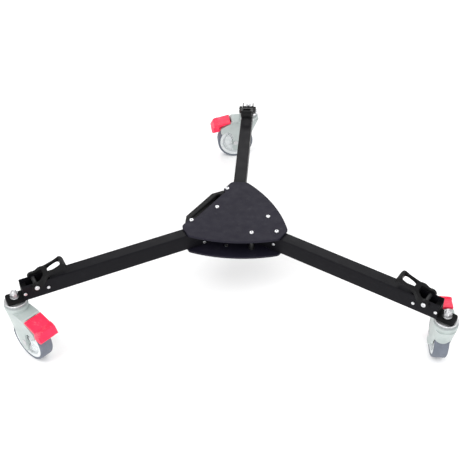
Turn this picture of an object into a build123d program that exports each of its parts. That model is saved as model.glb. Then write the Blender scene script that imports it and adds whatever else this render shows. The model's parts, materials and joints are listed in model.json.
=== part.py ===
from build123d import *
import math
import os

# A folding three-arm dolly that carries a camera tripod.
#
# Frame: the origin is on the floor under the centre of the hub, +Z is up and +Y runs
# along the rear arm.  The left arm points to azimuth 210 degrees and the right arm to 330.
# Each arm is built along +X ("out" is the distance from the hub's axis), with +Y to its
# left, and is then turned to its azimuth.  Each caster is built with its swivel axis on
# the Z axis and its wheel trailing along +X, then turned by its yaw and moved under its arm.
# All lengths are millimetres, heights are above the floor.

# ---- overall layout ---------------------------------------------------------------------
ARM_AZIMUTH = {"left": 210.0, "right": 330.0, "rear": 90.0}
CASTER_YAW = {"left": -38.0, "right": 88.0, "rear": 191.0}
STEM_OUT = 528.0            # hub axis to each caster's swivel axis
ARM_TOP = 177.0             # height of the arms' top faces

# ---- arm tube ---------------------------------------------------------------------------
TUBE_WIDTH = 30.0
TUBE_HEIGHT = 40.0
TUBE_WALL = 2.5
TUBE_CORNER = 3.0
TUBE_START = 20.0
TUBE_END = 511.0
POCKET_START = 448.0        # from here outwards the top wall is cut away for the tripod foot
PIVOT_OUT = 42.0            # hub axis to the bolt that each arm hangs on
PIVOT_BOLT_RADIUS = 5.0
RUNNING_GAP = 0.05          # radial clearance of a turning fit

ARM_BOTTOM = ARM_TOP - TUBE_HEIGHT
HALF_TUBE = TUBE_WIDTH / 2
HALF_BORE = HALF_TUBE - TUBE_WALL

# ---- hub plates -------------------------------------------------------------------------
PLATE_THICKNESS = 5.0
PLATE_GAP = 0.5             # slide washers between the arms and the plates
CORNER_OUT = 129.0          # the plates' short flats across each arm
CORNER_HALF_WIDTH = 19.0
CORNER_ROUND = 11.0
SIDE_MIDDLE = 96.5          # the bowed long sides' distance from the hub axis, half way along
TOP_PLATE_LOW = ARM_TOP + PLATE_GAP
TOP_PLATE_HIGH = TOP_PLATE_LOW + PLATE_THICKNESS
BOTTOM_PLATE_HIGH = ARM_BOTTOM - PLATE_GAP
BOTTOM_PLATE_LOW = BOTTOM_PLATE_HIGH - PLATE_THICKNESS
STANDOFF_OUT = 66.0         # on the fixed arm's axis
STANDOFF_SIDE = 35.0
STANDOFF_RADIUS = 6.0
FIXED_BOLT_OUT = 111.0
HEAD_RADIUS = 5.0           # button heads on the top plate
HEAD_HEIGHT = 3.0
SEAT_RADIUS = 5.3           # shallow spot faces that the heads sit in
SEAT_DEPTH = 0.3
HEAD_SEAT = TOP_PLATE_HIGH - SEAT_DEPTH

# ---- carry handle, in the side that faces azimuth 150 -------------------------------------
HANDLE_AZIMUTH = 150.0
HANDLE_SIDE_OUT = 81.0       # where the plates' straight side lies
NOTCH_INNER = 71.0
NOTCH_HALF_LENGTH = 60.0
NOTCH_FLARE = 9.0
GRIP_INNER = 90.0
GRIP_OUTER = 106.0
GRIP_HALF_LENGTH = 52.0
GRIP_TOP = ARM_TOP - 8.0
GRIP_BOTTOM = ARM_TOP - 29.0
HANDLE_POST_OUT = 74.0
HANDLE_POST_SIDE = 73.0
HANDLE_POST_RADIUS = 9.0
HANDLE_SHOULDER = (93.0, 74.0)
HANDLE_WEB_SCREW_OUT = 53.0
HANDLE_WEB_THICKNESS = 12.0

# ---- arm locks under the bottom plate -----------------------------------------------------
LOCK_OUT = 88.0             # on the folding arm's axis
LOCK_STRAP_END = {"left": (-18.7, -56.5), "rear": (39.5, 44.5)}
LOCK_STRAP_THICKNESS = 3.0
LOCK_STRAP_HALF = 10.0
LOCK_STEM_RADIUS = 4.0

# ---- end bracket ---------------------------------------------------------------------------
BRACKET_END = 547.0
BRACKET_THICKNESS = 8.0
BRACKET_START = 446.0
SIDE_SCREW_HEIGHT = ARM_BOTTOM + 19.5
SIDE_SCREW_RADIUS = 2.0
SIDE_HEAD_RADIUS = 3.7
SIDE_SCREWS_OUT = (456.0, 506.5)
HUB_SIDE_SCREW = {            # the screw near the hub in one side of each arm: out, side, height
    "left": (88.0, 1, ARM_BOTTOM + 8.0),
    "right": (112.6, -1, ARM_BOTTOM + 20.0),
    "rear": (88.0, -1, ARM_BOTTOM + 8.0),
}
FLOOR_OF_TUBE = ARM_BOTTOM + TUBE_WALL
BRACKET_TOP = ARM_BOTTOM + BRACKET_THICKNESS

# ---- foot clamp lever ----------------------------------------------------------------------
LEVER_PIVOT_OUT = 481.0
LEVER_PIVOT_HEIGHT = ARM_TOP - 5.5
LEVER_BOLT_RADIUS = 3.2
LEVER_SLEEVE_RADIUS = 4.5
LEVER_HEAD_RADIUS = 5.2
EAR_RADIUS = 10.0
EAR_INNER = HALF_TUBE + 0.4
EAR_OUTER = EAR_INNER + 7.0
LOOP_HALF = 15.0            # half width of the finger loop
LOOP_BORE_HALF = 10.5
LOOP_END = 409.0
LOOP_BORE_START = 421.0
LOOP_BORE_END = 450.0
CROSSBAR_END = 460.0

# ---- caster --------------------------------------------------------------------------------
TRAIL = 39.5
WHEEL_RADIUS = 50.0
TREAD_INNER_RADIUS = 44.5
TREAD_HALF = 16.0
GROOVE_OUTER_RADIUS = 36.0
GROOVE_INNER_RADIUS = 31.0
RIM_HALF = 15.0
CHEEK_INNER = 17.5
CHEEK_OUTER = 22.5
CAVITY_RADIUS = 53.0
FRONT_TOP = -4.0             # middle of the housing's round front, 110 above the floor
FRONT_LEAN = 0.45            # how far that middle moves back for each millimetre down
HEAD_TOP = 128.0
HEAD_RING_RADIUS = 26.0
BEARING_RADIUS = 25.5
STEM_FLANGE_RADIUS = 24.5
JOURNAL_RADIUS = 8.0
STUD_RADIUS = 5.0
NUT_FLANGE_RADIUS = 9.6
NUT_ACROSS_FLATS = 16.0
AXLE_RADIUS = 4.0
BALL_BEARING_RADIUS = 11.0
BALL_BEARING_WIDTH = 7.0
PEDAL_PIVOT = (57.0, 106.5)  # trail direction, height
PEDAL_PIN_RADIUS = 3.0
PEDAL_PIN_HALF = CHEEK_OUTER - 2.0
PEDAL_HALF = 21.5
PEDAL_PAD_HALF = 22.7
SHOE_RADIUS = 58.0           # brake shoe face, from the wheel's axle


# ---- helpers -------------------------------------------------------------------------------
def block(x_range, y_range, z_range):
    """A box between pairs of limits."""
    sizes = [high - low for low, high in (x_range, y_range, z_range)]
    middle = [(high + low) / 2 for low, high in (x_range, y_range, z_range)]
    return Pos(*middle) * Box(*sizes)


def upright(radius, low, high, x=0.0, y=0.0):
    """A vertical cylinder."""
    return Pos(x, y, (low + high) / 2) * Cylinder(radius, high - low)


def crosswise(radius, low, high, x, z):
    """A cylinder along Y, from y = low to y = high."""
    return Pos(x, (low + high) / 2, z) * Rot(90, 0, 0) * Cylinder(radius, high - low)


def hexagon(across_flats, low, high, x=0.0, y=0.0):
    """A vertical hexagonal prism."""
    sketch = RegularPolygon(across_flats / 2, 6, major_radius=False)
    return Pos(x, y, low) * extrude(sketch, high - low)


def side_face(lines):
    """A face in the XZ plane from connected edges."""
    return Plane.XZ * make_face(Curve() + lines)


def spread(face, half_width):
    """Extrude an XZ face to both sides of Y = 0."""
    return extrude(face, half_width, both=True)


def turned(azimuth, x, y):
    """A plan point turned about the hub's axis."""
    angle = math.radians(azimuth)
    return (x * math.cos(angle) - y * math.sin(angle), x * math.sin(angle) + y * math.cos(angle))


def on_arm(name, x, y=0.0):
    """The plan position of a point that is x out and y to the left along an arm."""
    return turned(ARM_AZIMUTH[name], x, y)


def save(name, solids):
    """Write one sub-part as parts/NAME.step."""
    if not isinstance(solids, (list, tuple)):
        solids = [solids]
    pieces = [piece for item in solids for piece in item.solids()]
    shape = pieces[0] if len(pieces) == 1 else Compound(pieces)
    shape.label = name
    export_step(shape, f"parts/{name}.step")


# ---- hub -------------------------------------------------------------------------------------
def hub_outline():
    """The three-sided plate outline: two bowed sides, a straight one at the handle, and short
    rounded flats across the arms."""
    lines = []
    for azimuth in sorted(ARM_AZIMUTH.values()):
        right_corner = turned(azimuth, CORNER_OUT, -CORNER_HALF_WIDTH)
        left_corner = turned(azimuth, CORNER_OUT, CORNER_HALF_WIDTH)
        middle = turned(azimuth + 60, SIDE_MIDDLE, 0)
        next_corner = turned(azimuth + 120, CORNER_OUT, -CORNER_HALF_WIDTH)
        lines.append(Line(right_corner, left_corner))
        if azimuth + 60 == HANDLE_AZIMUTH:
            lines.append(Line(left_corner, next_corner))
        else:
            lines.append(ThreePointArc(left_corner, middle, next_corner))
    face = make_face(Curve() + lines)
    return fillet(face.vertices(), CORNER_ROUND)


def handle_notch(low, high):
    """The cut in a plate that makes room for fingers behind the carry handle."""
    edge = HANDLE_SIDE_OUT + 1
    outline = Polyline(
        (NOTCH_INNER, -NOTCH_HALF_LENGTH),
        (NOTCH_INNER, NOTCH_HALF_LENGTH),
        (edge, NOTCH_HALF_LENGTH + NOTCH_FLARE),
        (edge, -NOTCH_HALF_LENGTH - NOTCH_FLARE),
        close=True,
    )
    face = make_face(outline)
    face = fillet(face.vertices().group_by(Axis.X)[0], 5.0)
    cut = Pos(0, 0, low) * extrude(face, high - low)
    return Rot(0, 0, HANDLE_AZIMUTH) * cut


def handle_points():
    """The plan positions of the handle's two posts and of its inner web's screw."""
    return [
        turned(HANDLE_AZIMUTH, HANDLE_POST_OUT, -HANDLE_POST_SIDE),
        turned(HANDLE_AZIMUTH, HANDLE_POST_OUT, HANDLE_POST_SIDE),
        turned(HANDLE_AZIMUTH, HANDLE_WEB_SCREW_OUT, 0.0),
    ]


def standoff_points():
    return [on_arm("right", STANDOFF_OUT, side) for side in (-STANDOFF_SIDE, STANDOFF_SIDE)]


def plate(low, high):
    body = Pos(0, 0, low) * extrude(hub_outline(), high - low)
    return body - handle_notch(low - 1, high + 1)


def top_plate():
    body = plate(TOP_PLATE_LOW, TOP_PLATE_HIGH)
    body = chamfer(body.edges().group_by(Axis.Z)[-1], 0.6)
    screws = [(2.6, point) for point in handle_points() + standoff_points()]
    screws.append((3.1, on_arm("right", FIXED_BOLT_OUT)))
    for radius, (x, y) in screws:
        body -= upright(radius, TOP_PLATE_LOW - 1, TOP_PLATE_HIGH + 1, x, y)
        body -= upright(SEAT_RADIUS, HEAD_SEAT, TOP_PLATE_HIGH + 1, x, y)
    for name in ARM_AZIMUTH:
        x, y = on_arm(name, PIVOT_OUT)
        body -= upright(4.0, TOP_PLATE_LOW - 1, TOP_PLATE_HIGH - 1, x, y)
    return body


def bottom_plate():
    body = plate(BOTTOM_PLATE_LOW, BOTTOM_PLATE_HIGH)
    low, high = BOTTOM_PLATE_LOW - 1, BOTTOM_PLATE_HIGH + 1
    for x, y in handle_points()[:2] + standoff_points():
        body -= upright(2.6, low, high, x, y)
    x, y = on_arm("right", FIXED_BOLT_OUT)
    body -= upright(3.1, low, high, x, y)
    for name in ARM_AZIMUTH:
        x, y = on_arm(name, PIVOT_OUT)
        body -= upright(PIVOT_BOLT_RADIUS, low, high, x, y)
    for name, (x, y) in LOCK_STRAP_END.items():
        body -= upright(2.5, low, high, x, y)
        body -= Pos(x, y, BOTTOM_PLATE_HIGH - 1.25) * Cone(2.5, 5.0, 2.5)
        x, y = on_arm(name, LOCK_OUT)
        body -= upright(LOCK_STEM_RADIUS + RUNNING_GAP, low, high, x, y)
    return body


def carry_handle():
    """One moulding: the outer grip, two full-height posts and a web under the top plate."""
    side = HANDLE_POST_SIDE
    shoulder_out, shoulder_side = HANDLE_SHOULDER
    half_line = [
        (GRIP_OUTER, GRIP_HALF_LENGTH),
        (shoulder_out, shoulder_side),
        (HANDLE_POST_OUT, side + HANDLE_POST_RADIUS),
        (HANDLE_POST_OUT - 5, side - HANDLE_POST_RADIUS),
        (GRIP_INNER - 3, side - 13),
        (GRIP_INNER, GRIP_HALF_LENGTH),
    ]
    grip_line = Polyline(*half_line, *[(x, -y) for x, y in reversed(half_line)], close=True)
    grip = Pos(0, 0, GRIP_BOTTOM) * extrude(make_face(grip_line), GRIP_TOP - GRIP_BOTTOM)
    outside = [edge for edge in grip.edges().filter_by(Plane.XY) if edge.center().X > GRIP_INNER - 2]
    grip = fillet(outside, 4.0)
    web_low = TOP_PLATE_LOW - HANDLE_WEB_THICKNESS
    web_half = [(44, 14), (50, 24), (50, 45), (64, 70), (70, 74), (70, 62), (60, 52)]
    web_line = Polyline(*web_half, *[(x, -y) for x, y in reversed(web_half)], close=True)
    body = grip + Pos(0, 0, web_low) * extrude(make_face(web_line), HANDLE_WEB_THICKNESS)
    for y in (-side, side):
        body += upright(HANDLE_POST_RADIUS, BOTTOM_PLATE_HIGH, TOP_PLATE_LOW, HANDLE_POST_OUT, y)
    for y in (-side, side):
        body -= upright(2.5, TOP_PLATE_LOW - 14, TOP_PLATE_LOW + 1, HANDLE_POST_OUT, y)
        body -= upright(2.5, BOTTOM_PLATE_HIGH - 1, BOTTOM_PLATE_HIGH + 14, HANDLE_POST_OUT, y)
    body -= upright(2.5, web_low - 1, TOP_PLATE_LOW + 1, HANDLE_WEB_SCREW_OUT)
    return Rot(0, 0, HANDLE_AZIMUTH) * body


def button_screw(x, y, surface, tip, radius=2.5, head_radius=HEAD_RADIUS, upwards=True):
    """A round-headed screw with a hex socket; its head stands on z = surface."""
    way = 1 if upwards else -1
    head = upright(head_radius, *sorted((surface, surface + way * HEAD_HEIGHT)), x, y)
    crown = head.edges().group_by(Axis.Z)[-1 if upwards else 0]
    head = fillet(crown, 1.8)
    socket = hexagon(3.0, *sorted((surface + way * 1.2, surface + way * (HEAD_HEIGHT + 1))), x, y)
    shank = upright(radius, *sorted((surface, tip)), x, y)
    return head + shank - socket


def handle_screws():
    screws = []
    for x, y in handle_points():
        screws.append(button_screw(x, y, HEAD_SEAT, TOP_PLATE_LOW - 10))
    for x, y in handle_points()[:2]:
        tip = BOTTOM_PLATE_HIGH + 10
        screws.append(button_screw(x, y, BOTTOM_PLATE_LOW, tip, upwards=False))
    return screws


def hub_standoffs():
    posts = []
    for x, y in standoff_points():
        post = upright(STANDOFF_RADIUS, BOTTOM_PLATE_HIGH, TOP_PLATE_LOW, x, y)
        posts.append(post - upright(2.5, BOTTOM_PLATE_HIGH - 1, TOP_PLATE_LOW + 1, x, y))
    return posts


def standoff_screws():
    screws = []
    for x, y in standoff_points():
        screws.append(button_screw(x, y, HEAD_SEAT, TOP_PLATE_LOW - 12))
        tip = BOTTOM_PLATE_HIGH + 12
        screws.append(button_screw(x, y, BOTTOM_PLATE_LOW, tip, upwards=False))
    return screws


def inner_arm_bolts():
    """One shoulder bolt for each arm, from below, threaded into the top plate."""
    bolts = []
    for name in ARM_AZIMUTH:
        x, y = on_arm(name, PIVOT_OUT)
        bolt = hexagon(16.0, BOTTOM_PLATE_LOW - 6.0, BOTTOM_PLATE_LOW, x, y)
        bolt += upright(PIVOT_BOLT_RADIUS, BOTTOM_PLATE_LOW, TOP_PLATE_LOW, x, y)
        bolt += upright(4.0, TOP_PLATE_LOW, TOP_PLATE_HIGH - 1.0, x, y)
        bolts.append(bolt)
    return bolts


def pivot_washers():
    """Thin slide washers above and below each arm."""
    washers = []
    for name in ARM_AZIMUTH:
        x, y = on_arm(name, PIVOT_OUT)
        for low in (BOTTOM_PLATE_HIGH, TOP_PLATE_LOW - 0.4):
            ring = upright(13.0, low, low + 0.4, x, y)
            washers.append(ring - upright(5.2, low - 1, low + 2, x, y))
    return washers


def fixed_arm_bolt():
    """The bolt that stops the right arm from turning, with its nut."""
    x, y = on_arm("right", FIXED_BOLT_OUT)
    screw = button_screw(x, y, HEAD_SEAT, BOTTOM_PLATE_LOW - 6.5, radius=3.0)
    nut = hexagon(10.0, BOTTOM_PLATE_LOW - 5.0, BOTTOM_PLATE_LOW, x, y)
    nut -= upright(3.0, BOTTOM_PLATE_LOW - 6.0, BOTTOM_PLATE_LOW + 1.0, x, y)
    return [screw, nut]


def lock_straps():
    """Flat straps under the bottom plate that the lock knobs are threaded through."""
    straps = []
    low = BOTTOM_PLATE_LOW - LOCK_STRAP_THICKNESS
    for name, (end_x, end_y) in LOCK_STRAP_END.items():
        x, y = on_arm(name, LOCK_OUT)
        length = math.dist((x, y), (end_x, end_y))
        angle = math.degrees(math.atan2(end_y - y, end_x - x))
        outline = SlotCenterToCenter(length, 2 * LOCK_STRAP_HALF)
        strap = Pos((x + end_x) / 2, (y + end_y) / 2, low) * Rot(0, 0, angle) * extrude(
            outline, LOCK_STRAP_THICKNESS
        )
        strap -= upright(LOCK_STEM_RADIUS + RUNNING_GAP, low - 1, low + 5, x, y)
        strap -= upright(2.5, low - 1, low + 5, end_x, end_y)
        straps.append(strap)
    return straps


def lock_strap_screws():
    screws = []
    for x, y in LOCK_STRAP_END.values():
        shank = upright(2.5, BOTTOM_PLATE_LOW - LOCK_STRAP_THICKNESS, BOTTOM_PLATE_HIGH, x, y)
        head = Pos(x, y, BOTTOM_PLATE_HIGH - 1.25) * Cone(2.5, 5.0, 2.5)
        screws.append(shank + head - hexagon(3.0, BOTTOM_PLATE_HIGH - 1.5, BOTTOM_PLATE_HIGH + 1, x, y))
    return screws


def lock_knob(name):
    """A five-lobed clamping knob; the tip of its stem presses on the arm's underside."""
    high = BOTTOM_PLATE_LOW - LOCK_STRAP_THICKNESS - 4.5
    low = high - 18.0
    knob = upright(17.0, low, high)
    for lobe in range(5):
        angle = math.radians(72 * lobe + 36)
        knob -= upright(6.0, low - 1, high + 1, 20.0 * math.cos(angle), 20.0 * math.sin(angle))
    rims = knob.faces().filter_by(Axis.Z).edges()
    knob = fillet(rims, 1.5)
    collar = upright(9.0, high, high + 4.0)
    stem = upright(LOCK_STEM_RADIUS, high, ARM_BOTTOM - 0.1)
    x, y = on_arm(name, LOCK_OUT)
    return Pos(x, y, 0) * (knob + collar + stem)


# ---- arm -------------------------------------------------------------------------------------
def arm_tube(name):
    """Rectangular tube whose outer end is open on top to make the tripod foot's pocket."""
    plane = Plane.YZ.offset(TUBE_START)
    outer = plane * RectangleRounded(TUBE_WIDTH, TUBE_HEIGHT, TUBE_CORNER)
    inner = plane * RectangleRounded(TUBE_WIDTH - 2 * TUBE_WALL, TUBE_HEIGHT - 2 * TUBE_WALL, 1.0)
    length = TUBE_END - TUBE_START
    middle = Pos(0, 0, ARM_TOP - TUBE_HEIGHT / 2)
    body = middle * (extrude(outer, length) - extrude(inner, length))
    body -= block((POCKET_START, TUBE_END + 1), (-HALF_BORE, HALF_BORE), (ARM_TOP - 5, ARM_TOP + 1))
    hole = PIVOT_BOLT_RADIUS + RUNNING_GAP
    body -= upright(hole, ARM_BOTTOM - 1, ARM_TOP + 1, PIVOT_OUT)
    if name == "right":
        body -= upright(3.1, ARM_BOTTOM - 1, ARM_TOP + 1, FIXED_BOLT_OUT)
    for out in SIDE_SCREWS_OUT:
        body -= crosswise(SIDE_SCREW_RADIUS, -20, 20, out, SIDE_SCREW_HEIGHT)
    body -= crosswise(LEVER_BOLT_RADIUS, -20, 20, LEVER_PIVOT_OUT, LEVER_PIVOT_HEIGHT)
    out, side, height = HUB_SIDE_SCREW[name]
    body -= crosswise(SIDE_SCREW_RADIUS, *sorted((side * 5, side * 20)), out, height)
    return body


def pivot_bushing():
    """A sleeve inside the tube that the inner bolt passes through."""
    low, high = ARM_BOTTOM + TUBE_WALL, ARM_TOP - TUBE_WALL
    sleeve = upright(8.0, low, high, PIVOT_OUT)
    return sleeve - upright(PIVOT_BOLT_RADIUS + RUNNING_GAP, low - 1, high + 1, PIVOT_OUT)


def end_bracket():
    """A casting: the caster plate, a tongue inside the tube and the two screwed blocks."""
    tail = block((TUBE_END, BRACKET_END), (-HALF_TUBE, HALF_TUBE), (ARM_BOTTOM, BRACKET_TOP))
    tail = fillet(tail.edges().filter_by(Axis.Z).group_by(Axis.X)[-1], 6.0)
    half = HALF_BORE - 0.1
    tongue = block((BRACKET_START, TUBE_END), (-half, half), (FLOOR_OF_TUBE, BRACKET_TOP))
    tongue = chamfer(tongue.edges().filter_by(Axis.X).group_by(Axis.Z)[0], 1.0)
    inner = block((BRACKET_START, BRACKET_START + 14), (-half, half), (BRACKET_TOP, ARM_TOP - 12))
    outer = block((499, TUBE_END), (-half, half), (BRACKET_TOP, ARM_TOP - 12))
    body = tail + tongue + inner + outer
    body -= upright(STUD_RADIUS + 0.1, ARM_BOTTOM - 1, BRACKET_TOP + 1, STEM_OUT)
    for out in SIDE_SCREWS_OUT:
        body -= crosswise(SIDE_SCREW_RADIUS, -20, 20, out, SIDE_SCREW_HEIGHT)
    return body


def side_screw(out, side, height, tip):
    """A round-headed screw in one side of the tube; tip is how far from the middle it ends."""
    face = side * HALF_TUBE
    head = crosswise(SIDE_HEAD_RADIUS, *sorted((face, face + side * 2.4)), out, height)
    crown = head.edges().sort_by(Axis.Y)[-1 if side > 0 else 0]
    head = fillet(crown, 1.2)
    return head + crosswise(SIDE_SCREW_RADIUS, *sorted((face, side * tip)), out, height)


def side_screws(name):
    """Two screws from each side hold the bracket; one more holds the pad near the hub."""
    screws = [
        side_screw(out, side, SIDE_SCREW_HEIGHT, 4.0)
        for out in SIDE_SCREWS_OUT
        for side in (-1, 1)
    ]
    return screws + [side_screw(*HUB_SIDE_SCREW[name], 9.0)]


def lever_side():
    """The lever's outline seen from the side; heights here are measured from the arm's top."""
    pivot_height = LEVER_PIVOT_HEIGHT - ARM_TOP
    ear_top = (LEVER_PIVOT_OUT - 3.5, pivot_height + math.sqrt(EAR_RADIUS**2 - 3.5**2))
    ear_end = (LEVER_PIVOT_OUT + EAR_RADIUS, pivot_height)
    ear_low = (LEVER_PIVOT_OUT - 6.0, pivot_height - math.sqrt(EAR_RADIUS**2 - 6.0**2))
    top = Spline(ear_top, (470, 6.5), (463, 12), (455, 16), (447, 18.8), (421, 29.3))
    nose = Spline((421, 29.3), (413.5, 27.5), (409.5, 20.5), (LOOP_END, 14.5))
    lip = Polyline((LOOP_END, 14.5), (413.5, 14.5), (418, 20.4))
    under = Spline((418, 20.4), (447, 9.8), (457, 2.4), ear_low)
    ear = ThreePointArc(ear_low, ear_end, ear_top)
    return Pos(0, 0, ARM_TOP) * side_face([top, nose, lip, under, ear])


def lever_plan():
    """The lever's outline seen from above."""
    bar_end = LOOP_END - 0.5
    edges = []
    for way in (1, -1):
        outer, inner = way * EAR_OUTER, way * EAR_INNER
        edges.append(Line((498, outer), (470, outer)))
        edges.append(
            Spline((470, outer), (460, way * 18.7), (450, way * LOOP_HALF),
                   tangents=((-1, 0), (-1, 0)))
        )
        edges.append(Line((450, way * LOOP_HALF), (bar_end + 8, way * LOOP_HALF)))
        edges.append(
            ThreePointArc((bar_end + 8, way * LOOP_HALF), (bar_end + 2.4, way * (LOOP_HALF - 2.4)),
                          (bar_end, way * (LOOP_HALF - 8)))
        )
        edges.append(Line((498, outer), (498, inner)))
        edges.append(Line((498, inner), (473, inner)))
        edges.append(
            ThreePointArc((473, inner), (CROSSBAR_END + 3.9, way * (EAR_INNER - 3.9)),
                          (CROSSBAR_END, 0.5 * inner))
        )
    edges.append(Line((bar_end, LOOP_HALF - 8), (bar_end, 8 - LOOP_HALF)))
    edges.append(Line((CROSSBAR_END, 0.5 * EAR_INNER), (CROSSBAR_END, -0.5 * EAR_INNER)))
    middle = (LOOP_BORE_START + LOOP_BORE_END) / 2
    length = LOOP_BORE_END - LOOP_BORE_START
    loop = Pos(middle, 0) * RectangleRounded(length, 2 * LOOP_BORE_HALF, 5.0)
    return make_face(Curve() + edges) - loop


def clamp_lever():
    """The foot clamp: two ears beside the tube, a crossbar and a raised finger loop."""
    body = spread(lever_side(), EAR_OUTER)
    body &= Pos(0, 0, ARM_TOP - 40) * extrude(lever_plan(), 90)
    body -= block((440, 500), (-EAR_INNER, EAR_INNER), (ARM_TOP - 40, ARM_TOP + 2))
    hole = LEVER_BOLT_RADIUS + RUNNING_GAP
    return body - crosswise(hole, -30, 30, LEVER_PIVOT_OUT, LEVER_PIVOT_HEIGHT)


def lever_bolt():
    """The bolt the lever turns on, with a spacer sleeve across the pocket."""
    place = (LEVER_PIVOT_OUT, LEVER_PIVOT_HEIGHT)
    face = EAR_OUTER + 0.3
    body = crosswise(LEVER_BOLT_RADIUS, -face, face, *place)
    body += crosswise(LEVER_SLEEVE_RADIUS, -HALF_BORE, HALF_BORE, *place)
    for side in (-1, 1):
        head = crosswise(LEVER_HEAD_RADIUS, *sorted((side * face, side * (face + 3.3))), *place)
        head = fillet(head.edges().sort_by(Axis.Y)[-1 if side > 0 else 0], 1.5)
        body += head
        body -= crosswise(2.2, *sorted((side * (face + 1.7), side * (face + 5.0))), *place)
    return body


# ---- caster ------------------------------------------------------------------------------------
def caster_stem():
    """Stud, flange, journal and riveted head in one turned piece; it does not swivel."""
    body = upright(STUD_RADIUS, ARM_BOTTOM, BRACKET_TOP + 17.5)
    body = chamfer(body.edges().group_by(Axis.Z)[-1], 1.0)
    body += upright(STEM_FLANGE_RADIUS, ARM_BOTTOM - 4.0, ARM_BOTTOM)
    body += upright(JOURNAL_RADIUS, 105.0, ARM_BOTTOM - 4.0)
    body += upright(10.0, 103.0, 105.0)
    return body


def stem_nut():
    """Flanged lock nut on the stud."""
    body = upright(NUT_FLANGE_RADIUS, BRACKET_TOP, BRACKET_TOP + 2.0)
    body += hexagon(NUT_ACROSS_FLATS, BRACKET_TOP + 2.0, BRACKET_TOP + 12.0)
    collar = upright(7.0, BRACKET_TOP + 12.0, BRACKET_TOP + 16.0)
    body += fillet(collar.edges().group_by(Axis.Z)[-1], 1.5)
    return body - upright(STUD_RADIUS, BRACKET_TOP - 1, BRACKET_TOP + 20)


def swivel_bearing():
    """Stepped cover ring and sleeve that turn with the housing round the stem's journal."""
    body = upright(BEARING_RADIUS, HEAD_TOP, ARM_BOTTOM - 4.3)
    body += upright(11.0, 106.0, HEAD_TOP)
    body -= upright(JOURNAL_RADIUS + RUNNING_GAP, 100.0, ARM_BOTTOM)
    return body


def caster_housing():
    """One moulding: round head, hood over the wheel and a leg at each side of it."""
    front = Polyline((FRONT_TOP - 24, 119), (FRONT_TOP - 24, 80), (16.5, 44))
    foot = ThreePointArc((16.5, 44), (TRAIL - 14.5, WHEEL_RADIUS - 18.6), (TRAIL - 2, WHEEL_RADIUS - 24.6))
    heel = ThreePointArc((TRAIL - 2, WHEEL_RADIUS - 24.6), (TRAIL + 5, WHEEL_RADIUS - 23.6), (47, 30))
    back_of_leg = Line((47, 30), (47, 70))
    arch = Spline((47, 70), (51.5, 81), (60, 86.5), (69, 85), (76, 79), tangents=((0, 1), (7, -6)))
    tail = Polyline((76, 79), (81, 83.5), (81, 98.5), (54, 113.5), (47, 119), (FRONT_TOP - 24, 119))
    body = spread(side_face([front, foot, heel, back_of_leg, arch, tail]), CHEEK_OUTER)
    plan = Circle(CHEEK_OUTER) + Pos(60, 0) * Rectangle(120, 2 * CHEEK_OUTER)
    lean = Vector(-FRONT_LEAN, 0, 1)
    floor_start = FRONT_TOP + FRONT_LEAN * 110
    body &= extrude(Pos(floor_start, 0) * plan, 120 * lean.length, dir=lean)
    body += upright(HEAD_RING_RADIUS, 119.0, HEAD_TOP)
    body += Pos(0, 0, 115.5) * Cone(21.5, HEAD_RING_RADIUS, 7.0)
    body -= crosswise(CAVITY_RADIUS, -CHEEK_INNER, CHEEK_INNER, TRAIL, WHEEL_RADIUS)
    body -= block((50, 90), (-13, 13), (70, 125))
    body -= upright(11.0, 80, HEAD_TOP + 1)
    for side in (-1, 1):
        limits = sorted((side * (CHEEK_INNER - 2.2), side * CHEEK_INNER))
        body += crosswise(10.0, *limits, TRAIL, WHEEL_RADIUS)
        limits = sorted((side * (CHEEK_OUTER - 2.0), side * (CHEEK_OUTER + 1)))
        body -= crosswise(7.0, *limits, TRAIL, WHEEL_RADIUS)
    body -= crosswise(AXLE_RADIUS, -30, 30, TRAIL, WHEEL_RADIUS)
    pin_room = PEDAL_PIN_HALF + 0.3
    body -= crosswise(PEDAL_PIN_RADIUS + RUNNING_GAP, -pin_room, pin_room, *PEDAL_PIVOT)
    return body


def wheel_core():
    """Moulded wheel: raised rim, a groove, a disc and the seats of two ball bearings."""
    centre = (TRAIL, WHEEL_RADIUS)
    body = crosswise(TREAD_INNER_RADIUS, -RIM_HALF, RIM_HALF, *centre)
    for side in (-1, 1):
        body -= crosswise(GROOVE_OUTER_RADIUS, *sorted((side * 7.0, side * 20.0)), *centre)
        body += crosswise(GROOVE_INNER_RADIUS, *sorted((side * 7.0, side * 12.0)), *centre)
        body += crosswise(14.0, *sorted((side * 12.0, side * RIM_HALF)), *centre)
        seat = sorted((side * (RIM_HALF - BALL_BEARING_WIDTH), side * 20.0))
        body -= crosswise(BALL_BEARING_RADIUS, *seat, *centre)
    return body - crosswise(6.0, -20, 20, *centre)


def wheel_tread():
    """Soft tyre bonded round the core, with rounded shoulders."""
    body = crosswise(WHEEL_RADIUS, -TREAD_HALF, TREAD_HALF, TRAIL, WHEEL_RADIUS)
    body = fillet(body.edges(), 4.0)
    return body - crosswise(TREAD_INNER_RADIUS, -20, 20, TRAIL, WHEEL_RADIUS)


def wheel_bearings():
    rings = []
    for side in (-1, 1):
        limits = sorted((side * (RIM_HALF - BALL_BEARING_WIDTH), side * RIM_HALF))
        ring = crosswise(BALL_BEARING_RADIUS, *limits, TRAIL, WHEEL_RADIUS)
        rings.append(ring - crosswise(AXLE_RADIUS + RUNNING_GAP, -30, 30, TRAIL, WHEEL_RADIUS))
    return rings


def wheel_axle():
    """Axle pin with a flat head sunk in each leg."""
    body = crosswise(AXLE_RADIUS, -CHEEK_OUTER, CHEEK_OUTER, TRAIL, WHEEL_RADIUS)
    for side in (-1, 1):
        limits = sorted((side * (CHEEK_OUTER - 2.0), side * (CHEEK_OUTER + 0.8)))
        body += crosswise(6.8, *limits, TRAIL, WHEEL_RADIUS)
    return body


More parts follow.
